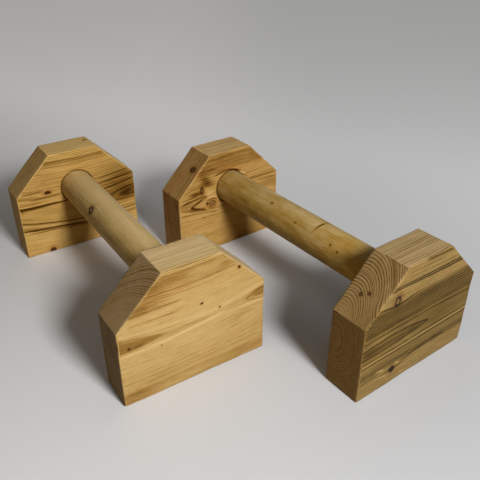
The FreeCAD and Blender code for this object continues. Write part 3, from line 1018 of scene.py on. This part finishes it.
def coated(tree, look, main, fine, rough):  # colour from two noises, relief from the finer one
    stops = [(place, shade(*levels)) for place, levels in look["colours"]]
    colour = ramp(tree, main + fine * look["fineShare"] + look["middle"], stops)
    dress(tree, {"Base Color": colour, "Roughness": rough + look["roughness"], "Metallic": look["metallic"],
                 "Normal": raised(tree, fine, look["relief"])})


def zincFinish(node):  # turned rings round the screw's axis and a fine grain, on yellow zinc
    look = zincLook
    low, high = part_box(node)
    middle = (low + high) / 2 / mm
    material, tree = newTree("screw_steel_" + node)
    x, y, z = frameMillimetres(tree)
    away = ((x - middle.x).squared() + (y - middle.y).squared()).root()
    turned = noise(tree, (away * look["turnedScale"], z * look["turnedUp"], 0.0))
    grain = noise(tree, [along * look["grainScale"] for along in (x, y, z)], 3, look["grainRoughness"])
    coated(tree, look, grain, turned, grain * look["grainShine"] + turned * look["turnedShine"])
    return material


def glueFinish(node):  # dried amber glue, clouded and slightly lumpy
    material, tree = newTree("glue_" + node)
    place = frameMillimetres(tree)
    scales = (glueLook["cloudScale"], glueLook["lumpScale"])
    cloud, lump = (noise(tree, [along * scale for along in place]) for scale in scales)
    coated(tree, glueLook, cloud, lump, cloud * glueLook["cloudShine"])
    return material


for node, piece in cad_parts.items():
    if node.endswith("_screw"):
        piece.material_slots[0].material = zincFinish(node)
    elif node.endswith("_glue"):
        piece.material_slots[0].material = glueFinish(node)
print("screws and glue finished")


# Floor, light and camera

studio = {
    # painted light: the paper is lighter on the left and darker on the right
    "paperLitLeft": (232, 231, 231), "paperShadedRight": (189, 190, 192), "paperWay": (0.835, -0.55),
    "bounceColour": (180, 166, 124), "paperRoughness": 0.8, "paperSpecular": 0.15,
    "paperSpan": (-0.3, 0.3), "floorReach": 6.0,  # spans, reach and distances in metres
    "glow": 0.257, "glowSpan": (-0.1, 0.6), "glowWay": (0.866, 0.5),  # painted light: the paper glows brighter towards the back
    "farSpan": (0.8, 1.6),  # and far away on every side
    "skyLight": (0.05, 0.0425, 0.03), "skyColour": (156, 155, 154),
    "lamps": {  # azimuth and elevation in degrees, distance, size, watts
        "key": (-1.1, 36.7, 1.366, 0.306, 17.3), "left": (-45.0, 60.0, 9.0, 4.2, 48.0),
        "back": (150.0, 35.0, 9.0, 4.2, 24.0),
    },
    "cameraAt": (-0.31673, -0.53967, 0.44610), "cameraAim": (0.09486, 0.08456, 0.0),
    "lens": 43.55, "sensor": 36.0,  # in millimetres
}


def seenRay(tree):  # 1 for camera, mirror and see-through rays, 0 for the light that falls on things
    path = tree.nodes.new("ShaderNodeLightPath")
    seen = Signal(tree, path.outputs["Is Camera Ray"])
    for kind in ("Is Glossy Ray", "Is Transmission Ray"):
        seen = nodeMath(tree, "MAXIMUM", seen, Signal(tree, path.outputs[kind]))
    return seen


def paperFinish():  # painted light: paper that darkens from left to right, and glows a little towards the back and far away, where it is seen
    material, tree = newTree("studio_paper")
    seen = seenRay(tree)
    x, y = frameMillimetres(tree)[:2]
    across = (x * studio["paperWay"][0] + y * studio["paperWay"][1]) * mm
    left, right, bounce = (shade(*studio[name]) for name in ("paperLitLeft", "paperShadedRight", "bounceColour"))
    paper = mixed(tree, seen, bounce, mixed(tree, across.rise(*studio["paperSpan"]), left, right))
    back = ((x * studio["glowWay"][0] + y * studio["glowWay"][1]) * mm).rise(*studio["glowSpan"])
    far = ((x.squared() + y.squared()).root() * mm).rise(*studio["farSpan"])
    glow = nodeMath(tree, "MAXIMUM", back, far) * seen * studio["glow"]
    dress(tree, {"Base Color": paper, "Emission Strength": glow, "Emission Color": (1, 1, 1, 1),
                 "Roughness": studio["paperRoughness"], "Specular IOR Level": studio["paperSpecular"]})
    return material


def addLamp(name, azimuth, elevation, away, size, power):  # a round soft box that looks at the pair
    lamp = bpy.data.lights.new(name, "AREA")
    lamp.shape = "DISK"
    lamp.size = size
    lamp.energy = power
    piece = addObject(name, lamp)
    swing, lift = math.radians(azimuth), math.radians(elevation)
    towards = Vector((math.sin(swing) * math.cos(lift), -math.cos(swing) * math.cos(lift), math.sin(lift)))
    piece.location = towards * away
    piece.rotation_euler = towards.to_track_quat("Z", "Y").to_euler()


reach = studio["floorReach"]
floor = bpy.data.meshes.new("studio_floor")
floorCorners = [(-reach, -reach, 0), (reach, -reach, 0), (reach, reach, 0), (-reach, reach, 0)]
floor.from_pydata(floorCorners, [], [(0, 1, 2, 3)])
floor.materials.append(paperFinish())
floorPiece = addObject("studio_floor", floor)

world = bpy.data.worlds.new("studio_sky")
bpy.context.scene.world = world
world.use_nodes = True
sky = world.node_tree
light = mixed(sky, seenRay(sky), studio["skyLight"], shade(*studio["skyColour"]))
sky.links.new(light.socket, sky.nodes["Background"].inputs["Color"])

for name, facts in studio["lamps"].items():
    addLamp(name, *facts)
lens = bpy.data.cameras.new("camera")
lens.lens = studio["lens"]
lens.sensor_width = studio["sensor"]
camera = addObject("camera", lens)
camera.location = studio["cameraAt"]
look = Vector(studio["cameraAim"]) - camera.location
camera.rotation_euler = look.to_track_quat("-Z", "Y").to_euler()
bpy.context.scene.camera = camera
bpy.context.scene.view_settings.view_transform = "Standard"
print("studio ready")
